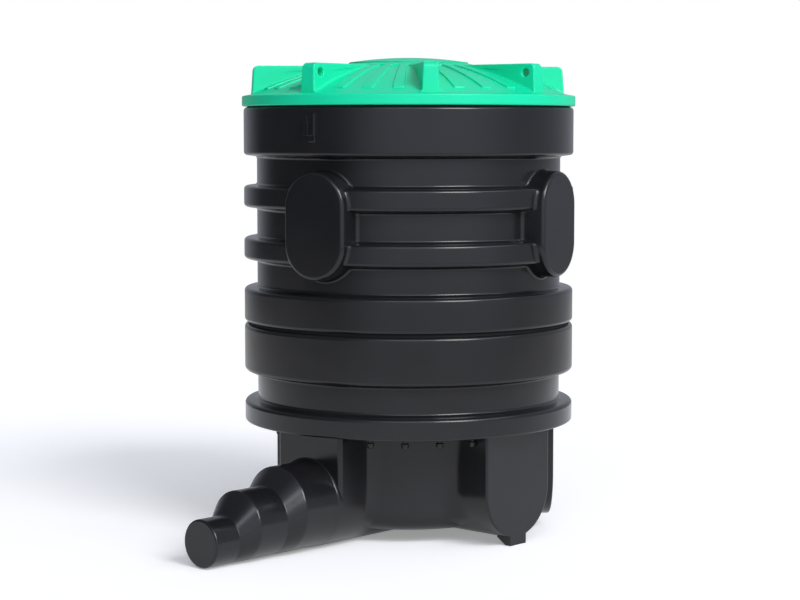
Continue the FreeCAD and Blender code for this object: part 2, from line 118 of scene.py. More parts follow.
def moulded_plastic(name, colour, pale, roughness, specular):
    """Satin plastic: clouds between two tones, mottled roughness, fine grain and slow waves as bump."""
    finish = bpy.data.materials.new(name)
    finish.use_nodes = True
    tree = finish.node_tree
    shader = tree.nodes["Principled BSDF"]
    shader.inputs["Specular IOR Level"].default_value = specular
    coordinates = add_node(tree, "ShaderNodeTexCoord", (-1200, 0))
    clouds = add_node(tree, "ShaderNodeTexNoise", (-900, 300), **CLOUDS)
    grain = add_node(tree, "ShaderNodeTexNoise", (-900, 0), **GRAIN)
    waves = add_node(tree, "ShaderNodeTexNoise", (-900, -300), **WAVES)
    for texture in (clouds, grain, waves):
        tree.links.new(coordinates.outputs["Object"], texture.inputs["Vector"])
    tones = add_node(tree, "ShaderNodeValToRGB", (-600, 300))
    for stop, position, tone in zip(tones.color_ramp.elements, TONE_SPAN, (colour, pale)):
        stop.position = position
        stop.color = (*tone, 1.0)
    tree.links.new(clouds.outputs["Fac"], tones.inputs["Fac"])
    tree.links.new(tones.outputs["Color"], shader.inputs["Base Color"])
    mottle = add_node(tree, "ShaderNodeMapRange", (-600, 0),
                      To_Min=roughness - SMOOTHER, To_Max=roughness + ROUGHER)
    tree.links.new(clouds.outputs["Fac"], mottle.inputs["Value"])
    tree.links.new(mottle.outputs["Result"], shader.inputs["Roughness"])
    fine = add_node(tree, "ShaderNodeBump", (-600, -300), **GRAIN_BUMP)
    slow = add_node(tree, "ShaderNodeBump", (-300, -300), **WAVE_BUMP)
    tree.links.new(grain.outputs["Fac"], fine.inputs["Height"])
    tree.links.new(waves.outputs["Fac"], slow.inputs["Height"])
    tree.links.new(fine.outputs["Normal"], slow.inputs["Normal"])
    tree.links.new(slow.outputs["Normal"], shader.inputs["Normal"])
    return finish


black_plastic = moulded_plastic("black_plastic", colour=(0.0080, 0.0080, 0.0094),
                                pale=(0.0115, 0.0115, 0.0132), roughness=0.19, specular=0.42)
green_plastic = moulded_plastic("green_plastic", colour=(0.003, 0.66, 0.340),
                                pale=(0.005, 0.72, 0.378), roughness=0.36, specular=0.28)
black_rubber = moulded_plastic("black_rubber", colour=(0.006, 0.006, 0.006),
                               pale=(0.010, 0.010, 0.010), roughness=0.75, specular=0.25)
finishes = {"base": black_plastic, "neck": black_plastic, "seal": black_rubber, "lid": green_plastic}
for part in frame["record"]["subparts"]:
    node = frame["nodes"][part["node"]]
    node.data.materials.clear()
    node.data.materials.append(finishes[part["material_slot"]])
print("finishes", sorted(finishes), "on", len(frame["nodes"]), "nodes")

# %% [markdown]
# ## Sections and skins
# Nearly every form on the chamber is a section carried along a path: a ring is a section turned
# about the axis, the outlet is a circle that shrinks along a line, a pad is an oblong that grows
# from its face to its root. Modifiers could round the edges of plain bodies, but moulded parts have
# exact radii, so each section gets its arcs from geometry and each skin is one grid of points,
# worked out as a whole array.

# %% Sections
MM = 0.001
ARC_SAG = 0.03 * MM
LEAST_CHORDS = 3
SUPPORT = 1.2 * MM
COLUMNS = 256


def unit(vectors):
    """Vectors divided by their lengths."""
    return vectors / np.linalg.norm(vectors, axis=-1, keepdims=True)


def rounded_path(corners, closed=True):
    """Section line through corners given as (x, y, radius).

    A corner with a radius becomes an arc that touches both of its runs: its centre is on the
    bisector, at radius divided by the sine of half the angle. Chords are as long as they can be
    without leaving the arc by more than a set height. A point just outside each end of the arc
    keeps the straight runs flat when normals are averaged.
    """
    corners = np.array(corners, float)
    points, radii = corners[:, :2], corners[:, 2]
    stretches = []
    for i, (corner, radius) in enumerate(zip(points, radii)):
        if radius == 0 or (not closed and i in (0, len(points) - 1)):
            stretches.append(corner[None])
            continue
        back = unit(points[i - 1] - corner)
        ahead = unit(points[(i + 1) % len(points)] - corner)
        half = math.acos(np.clip(back @ ahead, -1, 1)) / 2
        run, turn = radius / math.tan(half), math.pi - 2 * half
        centre = corner + unit(back + ahead) * radius / math.sin(half)
        start, end = corner + back * run - centre, corner + ahead * run - centre
        step = 2 * math.acos(1 - ARC_SAG / radius)
        t = np.linspace(0, turn, max(LEAST_CHORDS, math.ceil(turn / step)) + 1)[:, None]
        arc = centre + (np.sin(turn - t) * start + np.sin(t) * end) / math.sin(turn)
        before, after = corner + back * (run + SUPPORT), corner + ahead * (run + SUPPORT)
        stretches.append(np.vstack([before, arc, after]))
    return np.vstack(stretches)


def inset_corners(corners, depth):
    """Corners of an open section moved to its left by a wall's thickness, with mitred joints."""
    line = np.array(corners, float)[:, :2]
    step = unit(np.diff(line, axis=0))
    normal = np.stack([-step[:, 1], step[:, 0]], -1)
    before, after = np.vstack([normal[:1], normal]), np.vstack([normal, normal[-1:]])
    return line + (before + after) * depth / (1 + (before * after).sum(1, keepdims=True))


def turned_skin(section, columns=COLUMNS):
    """Surface of revolution: the section's (r, z) goes to (r sin a, -r cos a, z) at every angle a."""
    a = np.arange(columns) * 2 * np.pi / columns
    r, z = section[:, 0], section[:, 1]
    x, y = np.outer(np.sin(a), r), -np.outer(np.cos(a), r)
    return np.stack([x, y, np.broadcast_to(z, x.shape)], -1)


print("chords stay within", ARC_SAG / MM, "mm of their arcs")

# %% [markdown]
# ## From a skin to a piece
# A skin becomes a mesh with one quad for each cell of its grid. Points that coincide are welded and
# all faces are turned outwards. Moulded skins are smooth, so only edges that bend by more than a
# set angle are left sharp. Each piece then gets its finish, rides on a body of the frame, and
# stands for the plain nodes that it replaces.

# %% Pieces
WELD = 1e-6
SHARP = math.radians(38.0)


def grid_faces(rows, columns, wrap_rows, wrap_columns):
    """One quad for each cell of a grid of points, wrapped round where asked."""
    i = np.arange(rows if wrap_rows else rows - 1)[:, None]
    j = np.arange(columns if wrap_columns else columns - 1)[None]
    below, beside = (i + 1) % rows, (j + 1) % columns
    corners = (i * columns + j, below * columns + j, below * columns + beside, i * columns + beside)
    return np.stack(corners, -1).reshape(-1, 4)


def shell_mesh(name, grids):
    """Mesh of grids (points, wrap rows, wrap columns): welded, facing outwards, sharp where it bends."""
    points, faces, count = [], [], 0
    for skin, wrap_rows, wrap_columns in grids:
        faces.append(grid_faces(*skin.shape[:2], wrap_rows, wrap_columns) + count)
        points.append(skin.reshape(-1, 3))
        count += len(points[-1])
    mesh = bpy.data.meshes.new(name)
    mesh.from_pydata(np.vstack(points).tolist(), [], np.vstack(faces).tolist())
    shell = bmesh.new()
    shell.from_mesh(mesh)
    bmesh.ops.remove_doubles(shell, verts=shell.verts, dist=WELD)
    bmesh.ops.recalc_face_normals(shell, faces=shell.faces)
    shell.to_mesh(mesh)
    shell.free()
    mesh.shade_smooth()
    mesh.set_sharp_from_angle(angle=SHARP)
    return mesh


def make_piece(name, grids, slot, body, *stands_for):
    """Object of the grids with the slot's finish, riding on a body in place of the nodes it stands for."""
    piece = bpy.data.objects.new(name, shell_mesh(name, grids))
    bpy.context.collection.objects.link(piece)
    piece.data.materials.append(finishes[slot])
    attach(piece, body)
    if stands_for:
        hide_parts(*stands_for)
    print(name, len(piece.data.polygons), "faces")
    return piece


# %% [markdown]
# ## The base ring
# Flange, wall and collar of the base are one rotationally moulded ring with an even wall. The
# section is drawn once on the outside, its corners are moved inwards by the wall for the inside,
# and the closed loop is turned. Outer edges are rounder than inner ones, as on such mouldings.

# %% Base ring
WALL = 9 * MM
EDGE, ROOT, INNER, FOOT_EDGE, LIP_EDGE = 9 * MM, 7 * MM, 4 * MM, 6 * MM, 2 * MM
SLOPE = 4 * MM
FLANGE_H, BASE_COLLAR_H, SEAT_W = 49 * MM, 112 * MM, 52 * MM
RING_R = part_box("neck_collar")[1].x
BARREL_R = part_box("base_wall")[1].x
MOUTH_R = RING_R - SEAT_W
FLANGE_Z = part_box("base_flange")[0].z
BASE_TOP_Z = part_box("base_seat")[1].z
BASE_WALL_Z, BASE_COLLAR_Z = FLANGE_Z + FLANGE_H, BASE_TOP_Z - BASE_COLLAR_H


def shell_section(outside):
    """Closed section of a moulded ring, from its outside corners (r, z, radius) and an even wall."""
    inside = [(*point, INNER) for point in inset_corners(outside, WALL)]
    inside[0], inside[-1] = (*inside[0][:2], LIP_EDGE), (*inside[-1][:2], LIP_EDGE)
    return rounded_path(outside + inside[::-1])


base_outside = [
    (RING_R, FLANGE_Z, FOOT_EDGE),
    (RING_R, BASE_WALL_Z, EDGE),
    (BARREL_R, BASE_WALL_Z + SLOPE, ROOT),
    (BARREL_R, BASE_COLLAR_Z - SLOPE, ROOT),
    (RING_R, BASE_COLLAR_Z, EDGE),
    (RING_R, BASE_TOP_Z, EDGE),
    (MOUTH_R, BASE_TOP_Z, LIP_EDGE),
]
base_skin = turned_skin(shell_section(base_outside))
make_piece("base_ring", [(base_skin, True, True)], "base", "chamber",
           "base_flange", "base_wall", "base_collar", "base_seat")

# %% [markdown]
# ## The neck
# The neck stands on the base with a lip inside it. Two ribs stiffen its barrel, and a deep collar
# carries the lid. It could be stacked from plain rings, but it is one moulding, so it is made as
# the base ring is, from a single section whose corners repeat between one ring and the next.

# %% Neck ring
SEAL_GAP, LIP_PLAY = 6 * MM, 1 * MM
FOOT_H, LOWER_WALL_H, RIB_H, MIDDLE_WALL_H, COLLAR_H = 81 * MM, 72 * MM, 49 * MM, 76 * MM, 114 * MM
LIP_R = MOUTH_R - LIP_PLAY
LIP_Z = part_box("neck_lip")[0].z
NECK_Z = BASE_TOP_Z + SEAL_GAP
NECK_TOP_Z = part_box("neck_seat")[1].z
LOWER_WALL_Z = NECK_Z + FOOT_H
LOWER_RIB_Z = LOWER_WALL_Z + LOWER_WALL_H
UPPER_RIB_Z = LOWER_RIB_Z + RIB_H + MIDDLE_WALL_H
COLLAR_Z = NECK_TOP_Z - COLLAR_H

neck_outside = [(LIP_R, LIP_Z, LIP_EDGE), (LIP_R, NECK_Z, ROOT), (RING_R, NECK_Z, EDGE)]
for ring_top, next_ring in ((LOWER_WALL_Z, LOWER_RIB_Z), (LOWER_RIB_Z + RIB_H, UPPER_RIB_Z),
                            (UPPER_RIB_Z + RIB_H, COLLAR_Z)):
    neck_outside += [
        (RING_R, ring_top, EDGE),
        (BARREL_R, ring_top + SLOPE, ROOT),
        (BARREL_R, next_ring - SLOPE, ROOT),
        (RING_R, next_ring, EDGE),
    ]
neck_outside += [(RING_R, NECK_TOP_Z, EDGE), (MOUTH_R, NECK_TOP_Z, LIP_EDGE)]
neck_nodes = ["neck_lip", "neck_sole", "neck_foot", "neck_wall_lower", "neck_rib_lower",
              "neck_wall_middle", "neck_rib_upper", "neck_wall_upper", "neck_collar", "neck_seat"]
neck_skin = turned_skin(shell_section(neck_outside))
neck = make_piece("neck_ring", [(neck_skin, True, True)], "neck", "chamber", *neck_nodes)

# %% [markdown]
# ## The pads
# Each pad is a flat oblong face on a drafted wall that runs back into the ribs and the barrel. A
# drafted block could be joined to the neck and its edges bevelled, but the foot would then follow
# the ribs badly. Here a pad is an oblong that grows as it goes back: every point has a direction
# away from the oblong's spine and a distance from it. The barrel's own radius says where the wall
# ends, and there a small arc leads it into the barrel.

# %% The oblong
PAD_PROUD, PAD_HALF_W, PAD_PAST_RIBS, PAD_LIFT = 15 * MM, 80 * MM, 36 * MM, 2.5 * MM
PAD_DRAFT = 0.05
PAD_FACE = RING_R + PAD_PROUD
PAD_Z = (LOWER_RIB_Z + UPPER_RIB_Z + RIB_H) / 2 + PAD_LIFT
PAD_SPINE = (UPPER_RIB_Z + RIB_H - LOWER_RIB_Z) / 2 + PAD_PAST_RIBS - PAD_HALF_W
END_COLUMNS, SIDE_COLUMNS = 72, 20


def oblong():
    """Spine heights and outward directions round an upright oblong: up, over the top, down and under."""
    turn = np.linspace(0, np.pi, END_COLUMNS, endpoint=False)
    climb = np.linspace(-PAD_SPINE, PAD_SPINE, SIDE_COLUMNS, endpoint=False)
    ends = np.full(END_COLUMNS, PAD_SPINE)
    spine = np.concatenate([climb, ends, -climb, -ends])
    angle = np.concatenate([np.zeros(SIDE_COLUMNS), turn, np.full(SIDE_COLUMNS, np.pi), np.pi + turn])
    return spine, np.cos(angle), np.sin(angle)


def beside(distance):
    """Places (x, z) at a distance from the oblong's spine, along its outward directions."""
    spine, across, along = oblong()
    return distance * across, PAD_Z + spine + distance * along


print("pads", round(2 * PAD_HALF_W, 3), "m wide and", round(2 * (PAD_SPINE + PAD_HALF_W), 3), "m high")

# %% [markdown]
# The wall's foot has to be found: it lies where the drafted wall meets the barrel, and how far out
# the wall stands depends on its depth there. Going back and forth between the two a dozen times
# settles it. Rows of the grid then run from the middle of the face over the edge, down the wall, and
# back along the inside.

# %% Pads
PAD_EDGE, PAD_FOOT = 9 * MM, 7 * MM
EDGE_SHARE, FOOT_SHARE = 0.5, 0.4
FOOT_ROUNDS = 12
FACE_RINGS, HOLLOW_RINGS = (0.0, 0.35, 0.7, 1.0), (0.95, 0.5, 0.0)
EDGE_TURN, EDGE_ROWS, WALL_ROWS, FOOT_ROWS = math.radians(84), 9, 6, 7
WALL_START = 0.05
FOOT_CLEAR, SKIRT_OUT, SKIRT_SUNK, HOLLOW_SUNK = 0.2 * MM, 0.5 * MM, 4 * MM, 0.3 * MM
QUARTER = math.pi / 2
PAD_AZIMUTHS = [math.radians(10.9 + 90 * k) for k in range(3)]
barrel_line = rounded_path(neck_outside[2:-1], closed=False)
hollow_line = inset_corners(neck_outside[2:-1], WALL)


def barrel_height(distance, line):
    """Distance of the barrel from the plane through the axis: the root of r squared less x squared."""
    x, z = beside(distance)
    return np.sqrt(np.interp(z, line[:, 1], line[:, 0]) ** 2 - x ** 2)


def pad_wall(height, half=PAD_HALF_W, face=PAD_FACE):
    """Distance of the wall from the spine: the half width plus the draft times the depth below the face."""
    return half + PAD_DRAFT * (face - height)


def pad_skin():
    """Closed shell of a pad: face, rounded edge, wall, foot arc and skirt outside; wall and face inside.

    A row is a distance from the spine and a height above the plane through the axis, for every
    direction of the oblong. Heights on the foot are taken from the barrel under the point.
    """
    foot = barrel_height(pad_wall(BARREL_R), barrel_line)
    for _ in range(FOOT_ROUNDS):
        foot = (foot + barrel_height(pad_wall(foot), barrel_line)) / 2
    edge = np.minimum(PAD_EDGE, EDGE_SHARE * (PAD_FACE - foot))
    flare = np.minimum(PAD_FOOT, FOOT_SHARE * (PAD_FACE - foot))
    flat = PAD_HALF_W + PAD_DRAFT * edge - edge
    rows = [(share * (flat - SUPPORT), np.full_like(flat, PAD_FACE)) for share in FACE_RINGS]
    for b in np.linspace(0, EDGE_TURN, EDGE_ROWS):
        rows.append((flat + edge * math.sin(b), PAD_FACE - edge * (1 - math.cos(b))))
    for t in np.linspace(WALL_START, 1.0, WALL_ROWS):
        height = (1 - t) * (PAD_FACE - edge) + t * (foot + flare)
        rows.append((pad_wall(height), height))
    for b in np.linspace(0, QUARTER, FOOT_ROWS)[1:]:
        distance = pad_wall(foot + flare) + flare * (1 - math.cos(b))
        above = flare * (1 - math.sin(b)) + FOOT_CLEAR
        rows.append((distance, barrel_height(distance, barrel_line) + above))
    skirt = rows[-1][0] + SKIRT_OUT
    rows.append((skirt, barrel_height(skirt, barrel_line) - SKIRT_SUNK))
    hollow = dict(half=PAD_HALF_W - WALL, face=PAD_FACE - WALL)
    low = barrel_height(pad_wall(foot - WALL, **hollow), hollow_line) - HOLLOW_SUNK
    for t in np.linspace(0, 1, WALL_ROWS):
        height = (1 - t) * low + t * hollow["face"]
        rows.append((pad_wall(height, **hollow), height))
    for share in HOLLOW_RINGS:
        rows.append((np.full_like(flat, share * hollow["half"]), np.full_like(flat, hollow["face"])))
    distance, height = (np.array(column) for column in zip(*rows))
    x, z = beside(distance)
    return np.stack([x, -height, z], -1)


def spun(points, azimuth):
    """Points made along the outlet, turned about the shaft's axis to an azimuth in radians."""
    c, s = math.cos(azimuth), math.sin(azimuth)
    return points @ np.array([[c, s, 0.0], [-s, c, 0.0], [0.0, 0.0, 1.0]])


pad = pad_skin()
for k, azimuth in enumerate(PAD_AZIMUTHS):
    make_piece("pad_%d" % (k + 1), [(spun(pad, azimuth), False, True)], "neck", "chamber",
               "side_pad_%d" % (k + 1))

# %% [markdown]
# Behind each pad the neck is open, so that the pad's hollow belongs to the shaft. The windows could
# be left out of the turned grid, but its rows and columns don't follow an oblong. Three blocks, one
# for each window, are cut away from the neck instead, and then thrown away.

# %% Windows behind the pads
CUT_INSIDE, CUT_OUTSIDE = 70 * MM, 4 * MM


def pad_window():
    """Block that cuts a pad's window out of the neck, between the pad's outer and inner walls."""
    half = PAD_HALF_W - WALL / 2
    inside, outside = BARREL_R - CUT_INSIDE, PAD_FACE + CUT_OUTSIDE
    rows = [(0.0, inside), (pad_wall(inside, half), inside), (pad_wall(outside, half), outside),
            (0.0, outside)]
    skin = []
    for distance, height in rows:
        x, z = beside(distance)
        skin.append(np.stack([x, np.full_like(x, -height), z], -1))
    return np.array(skin)


blocks = [(spun(pad_window(), azimuth), False, True) for azimuth in PAD_AZIMUTHS]
cutter = bpy.data.objects.new("windows", shell_mesh("windows", blocks))
bpy.context.collection.objects.link(cutter)
cut = neck.modifiers.new("windows", "BOOLEAN")
cut.operation, cut.solver, cut.object = "DIFFERENCE", "EXACT", cutter
open_mesh = bpy.data.meshes.new_from_object(neck.evaluated_get(bpy.context.evaluated_depsgraph_get()))
neck.modifiers.clear()
neck.data = open_mesh
open_mesh.set_sharp_from_angle(angle=SHARP)
bpy.data.objects.remove(cutter)
print("neck with windows", len(neck.data.polygons), "faces")

# %% [markdown]
# ## The lug on the collar
# High on the collar sits a small bracket: two upright cheeks, a web with a hole between them, and a
# ledge below. It could be built from blocks, but it is moulded on, so nothing is sharp. That makes
# it a relief: one height above the collar for every place on it. The heights are products of soft
# steps, and the sheet is bent round the collar.

# %% Lug
LUG_AZIMUTH = math.radians(9.0)
LUG_W, LUG_FOOT_Z, LUG_LOW_Z, LUG_TOP_Z = 36 * MM, 944 * MM, 960 * MM, 1015 * MM
LUG_HOLE_Z, LUG_HOLE_R = 984 * MM, 6 * MM
CHEEK_W, CHEEK_PROUD, WEB_PROUD = 6 * MM, 13 * MM, 5 * MM
LEDGE_W, LEDGE_PROUD = 18 * MM, 1.6 * MM
TOP_LEAN = 10 * MM
LUG_SOFT, LUG_GRID = 2.2 * MM, 0.6 * MM
LUG_SUNK, LUG_ROOT = 0.4 * MM, 3 * MM


def smooth(t):
    """From 0 at 0 to 1 at 1, level at both ends: the cubic 3 t squared less 2 t cubed."""
    return t * t * (3 - 2 * t)


def soft_step(distance):
    """0 before an edge and 1 behind it, going over smoothly in a short way about the edge."""
    return smooth(np.clip(distance / LUG_SOFT + 0.5, 0, 1))


def lug_skin():
    """Relief bent round the collar, and a back inside the collar's wall; they meet at the border."""
    u = np.linspace(-LUG_W / 2, LUG_W / 2, round(LUG_W / LUG_GRID) + 1)[None]
    rows = round((LUG_TOP_Z - LUG_FOOT_Z) / LUG_GRID) + 1
    z = np.linspace(LUG_FOOT_Z, LUG_TOP_Z, rows)[:, None]
    margin = LUG_SOFT
    top = LUG_TOP_Z - margin - TOP_LEAN * (0.5 - u / LUG_W)
    sides = soft_step(LUG_W / 2 - margin - np.abs(u))
    plate = sides * soft_step(top - z) * soft_step(z - LUG_LOW_Z)
    cheeks = soft_step(np.abs(u) - LUG_W / 2 + margin + CHEEK_W)
    bore = soft_step(np.hypot(u, z - LUG_HOLE_Z) - LUG_HOLE_R)
    ledge = LEDGE_PROUD * soft_step(LEDGE_W / 2 - np.abs(u)) * soft_step(z - LUG_FOOT_Z - margin)
    web = WEB_PROUD * bore + (CHEEK_PROUD - WEB_PROUD) * cheeks
    proud = np.maximum(plate * web, ledge * soft_step(top - z)) - LUG_SUNK
    proud[0], proud[-1], proud[:, 0], proud[:, -1] = (-LUG_ROOT,) * 4
    r = RING_R + np.hstack([proud, np.full_like(proud[:, 1:-1], -LUG_ROOT)])
    a = LUG_AZIMUTH + np.hstack([u, u[:, -2:0:-1]]) / RING_R
    return np.stack([r * np.sin(a), -r * np.cos(a), np.broadcast_to(z, r.shape)], -1)


make_piece("lug", [(lug_skin(), False, True)], "neck", "chamber", "collar_lug")

# %% [markdown]
# ## The outlet
# The outlet steps down through three pipe sizes, so that the installer cuts it where the drain
# fits. All steps lie on one line at the bottom, so that nothing stays behind in them. Turned about
# one axis, the steps would be even all round. Here each circle's centre is one radius above that
# line instead. The tip is closed until it is cut.

# %% Outlet
OUTLET_REACH = -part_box("outlet_arm")[0].y
PIPE_R = (100 * MM, 80 * MM, 55 * MM)
PIPE_RUN = (103 * MM, 83 * MM, 70 * MM)
SHOULDER, INVERT = 42 * MM, 2 * MM
TIP_EDGE, TIP_INNER = 5 * MM, 3 * MM
CONE_EDGE, CONE_FOOT = 11 * MM, 2.5 * MM
FLUSH_RUN, OUTLET_FILLET = 40 * MM, 6 * MM
FILLET_START, FILLET_ROWS, FILLET_FADE = 0.02, 10, 2.0
OUTLET_COLUMNS = COLUMNS // 2


def outlet_skin():
    """Circles of radius r at distance s, with the centre r above the invert, closed at the tip.

    At the start the radius is the arm's own, so the two run into each other below. On the upper
    half a quarter of a hollow circle is added to the radius, which leads the pipe into the arm's
    end face.
    """
    s, arm_r = OUTLET_REACH, PIPE_R[0] + INVERT
    outside = [(s - WALL, arm_r, 0.0), (s, arm_r, 0.0), (s + FLUSH_RUN, PIPE_R[0], 0.0)]
    for i, (radius, run) in enumerate(zip(PIPE_R, PIPE_RUN)):
        s += run
        if i + 1 < len(PIPE_R):
            outside += [(s, radius, CONE_EDGE), (s + SHOULDER, PIPE_R[i + 1], CONE_FOOT)]
            s += SHOULDER
    outside.append((s, PIPE_R[-1], TIP_EDGE))
    inside = [(t, r - WALL, 0.0) for t, r, _ in outside]
    inside[-1] = (s - WALL, PIPE_R[-1] - WALL, TIP_INNER)
    out = rounded_path(outside + [(s, 0.0, 0.0)], closed=False)
    root = OUTLET_REACH + OUTLET_FILLET * np.linspace(FILLET_START, 1, FILLET_ROWS)
    root = np.stack([root, np.interp(root, out[1:3, 0], out[1:3, 1])], -1)
    out = np.vstack([out[:2], root, out[2:]])
    back = rounded_path(inside + [(s - WALL, 0.0, 0.0)], closed=False)[::-1]
    s, r = np.vstack([out, back]).T
    steps = np.array(outside)
    full = np.minimum(np.interp(s, steps[:, 0], steps[:, 1]), PIPE_R[0])
    t = np.clip((s - OUTLET_REACH) / OUTLET_FILLET, 0, 1)
    hollow = OUTLET_FILLET * (1 - np.sqrt(1 - (1 - t) ** 2)) * (np.arange(len(s)) < len(out))
    a = np.arange(OUTLET_COLUMNS)[:, None] * 2 * np.pi / OUTLET_COLUMNS
    r = r + np.clip(FILLET_FADE * np.cos(a), 0, 1) * hollow
    return np.stack([np.sin(a) * r, -np.broadcast_to(s, r.shape), INVERT + full + np.cos(a) * r], -1)


make_piece("outlet", [(outlet_skin(), True, True)], "base", "chamber",
           "outlet_pipe_200", "outlet_pipe_160", "outlet_pipe_110")

# %% [markdown]
# ## Soft corners of the channels
# Where an arm leaves the well, the moulding has a hollow corner, because the plastic can't follow a
# sharp one. A bevel would need the arms and the well joined into one mesh. The corner is instead
# the trace of a ball rolled down between the two walls: at every height its circle touches the
# arm's flat side and the well's round one. Just above the bottom the ball shrinks to nothing. Only
# the two wide bays beside the outlet have such corners, since the other arms run into each other.

# %% Corners of the channels
WELL_R, WELL_Z, WELL_EDGE = RING_R - 142 * MM, 32 * MM, 40 * MM
OUTLET_ARM = dict(half=102 * MM, invert=0.0, radius=40 * MM)
INLET_ARM = dict(half=114 * MM, invert=17 * MM, radius=70 * MM)
BALL_FADE, BALL_LEAST = 34 * MM, 0.01
CORNER_START, CORNER_DEPTH = 3 * MM, 3 * MM
CORNER_ROWS, CORNER_COLUMNS = 96, 25


def corner_skin(half, invert, radius, side):
    """Trace of the ball beside one wall of an arm along -Y: its centre is a radius off both walls.

    At height z the arm is half wide above its round bottom and follows a circle below; so does the
    well's edge.
    """
    z = np.linspace(WELL_Z + CORNER_START, FLANGE_Z, CORNER_ROWS)[:, None]
    wall = np.sqrt(half ** 2 - np.clip(invert + half - z, 0, None) ** 2)
    drop = np.clip(WELL_Z + WELL_EDGE - z, 0, None)
    well = WELL_R - WELL_EDGE + np.sqrt(WELL_EDGE ** 2 - drop ** 2)
    ball = radius * np.maximum(smooth(np.clip((z - z[0]) / BALL_FADE, 0.0, 1.0)), BALL_LEAST)
    x, y = wall + ball, np.sqrt((well + ball) ** 2 - (wall + ball) ** 2)
    end = np.arctan2(-y, -x) + 2 * np.pi
    turn = np.pi + (end - np.pi) * np.linspace(0, 1, CORNER_COLUMNS)[None]
    arc = np.stack([x + ball * np.cos(turn), y + ball * np.sin(turn)], -1)
    behind = np.stack([wall - CORNER_DEPTH, np.sqrt(well ** 2 - wall ** 2) - CORNER_DEPTH], -1)
    loop = np.concatenate([arc, behind], axis=1)
    low, high = (np.broadcast_to(tip, loop[:1].shape) for tip in (behind[:1], behind[-1:]))
    loop = np.concatenate([low, loop, high])
    z = np.vstack([z[:1], z, z[-1:]])
    return np.stack([side * loop[..., 0], -loop[..., 1], np.broadcast_to(z, loop.shape[:2])], -1)


open_corners = [(0, OUTLET_ARM, -1), (0, OUTLET_ARM, 1), (90, INLET_ARM, -1), (270, INLET_ARM, 1)]
corners = [(spun(corner_skin(side=side, **arm), math.radians(azimuth)), False, True)
           for azimuth, arm, side in open_corners]
make_piece("channel_corners", corners, "base", "chamber")

# %% [markdown]
# ## The studs
# Round-headed studs hang from the shelf in the two wide bays. They could be spheres on cylinders,
# but a stud is a turned piece, so one small section gives stem, shoulder and round end together.

# %% Studs
STUD_CIRCLE_R = 330 * MM
STUD_BAYS, STUD_STEP, STUDS_PER_BAY = (27, 291), 14, 4
STUD_HEAD_R, STUD_STEM_R, STUD_DROP, STUD_HEAD_H = 9 * MM, 5.5 * MM, 29 * MM, 14 * MM
STUD_ROOT, STUD_NECK, STUD_SHOULDER, STUD_END = 4 * MM, 1 * MM, 1.5 * MM, 8 * MM
STUD_COLUMNS = 32


def stud_skin():
    """Turned stud: a stem under the shelf, a wider head below and a round end."""
    root, low = FLANGE_Z + STUD_ROOT, FLANGE_Z - STUD_DROP
    section = rounded_path([
        (0.0, root, 0.0),
        (STUD_STEM_R, root, 0.0),
        (STUD_STEM_R, low + STUD_HEAD_H, STUD_NECK),
        (STUD_HEAD_R, low + STUD_HEAD_H, STUD_SHOULDER),
        (STUD_HEAD_R, low, STUD_END),
        (0.0, low, 0.0),
    ], closed=False)
    return turned_skin(section, STUD_COLUMNS) - np.array([0.0, STUD_CIRCLE_R, 0.0])


stud_azimuths = [first + STUD_STEP * k for first in STUD_BAYS for k in range(STUDS_PER_BAY)]
studs = [(spun(stud_skin(), math.radians(azimuth)), True, False) for azimuth in stud_azimuths]
make_piece("studs", studs, "base", "chamber")

# %% [markdown]
# ## The lid
# The lid is a shallow dome with a rim that laps over the collar and a plug that centres it. The
# dome could be a flattened ball, but a real one is drawn as part of a large sphere: its radius
# follows from the width of the foot and the rise. The whole lid is then one turned section, outside
# and inside.

# %% Lid shell
LID_GAP, RIM_H, RIM_W, RIM_RISE = 2 * MM, 24.5 * MM, 26 * MM, 5 * MM
DOME_RISE, LID_WALL, PLUG_PLAY = 80.5 * MM, 7 * MM, 6 * MM
RIM_EDGE, LID_EDGE = 4 * MM, 2 * MM
FOOT_MARGIN = 3 * MM
DOME_OUT_POINTS, DOME_IN_POINTS = 48, 24
LID_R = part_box("lid_rim")[1].x
LID_Z = NECK_TOP_Z + LID_GAP
RIM_Z = LID_Z + RIM_H
DOME_FOOT_R, DOME_FOOT_Z = LID_R - RIM_W, RIM_Z + RIM_RISE
DOME_TOP_Z = DOME_FOOT_Z + DOME_RISE
DOME_SPHERE = (DOME_FOOT_R ** 2 + DOME_RISE ** 2) / (2 * DOME_RISE)
PLUG_R = MOUTH_R - PLUG_PLAY
PLUG_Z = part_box("lid_plug")[0].z


def dome(r, proud=0.0):
    """Height of the dome at a radius, or of a sphere about the same centre that stands proud of it."""
    return DOME_TOP_Z - DOME_SPHERE + np.sqrt((DOME_SPHERE + proud) ** 2 - np.square(r))


def dome_points(inner, outer, proud, count):
    """Corners without rounding along the dome's section, from the inner radius to the outer."""
    r = np.linspace(inner, outer, count)
    return [(*point, 0.0) for point in np.stack([r, dome(r, proud)], -1)]


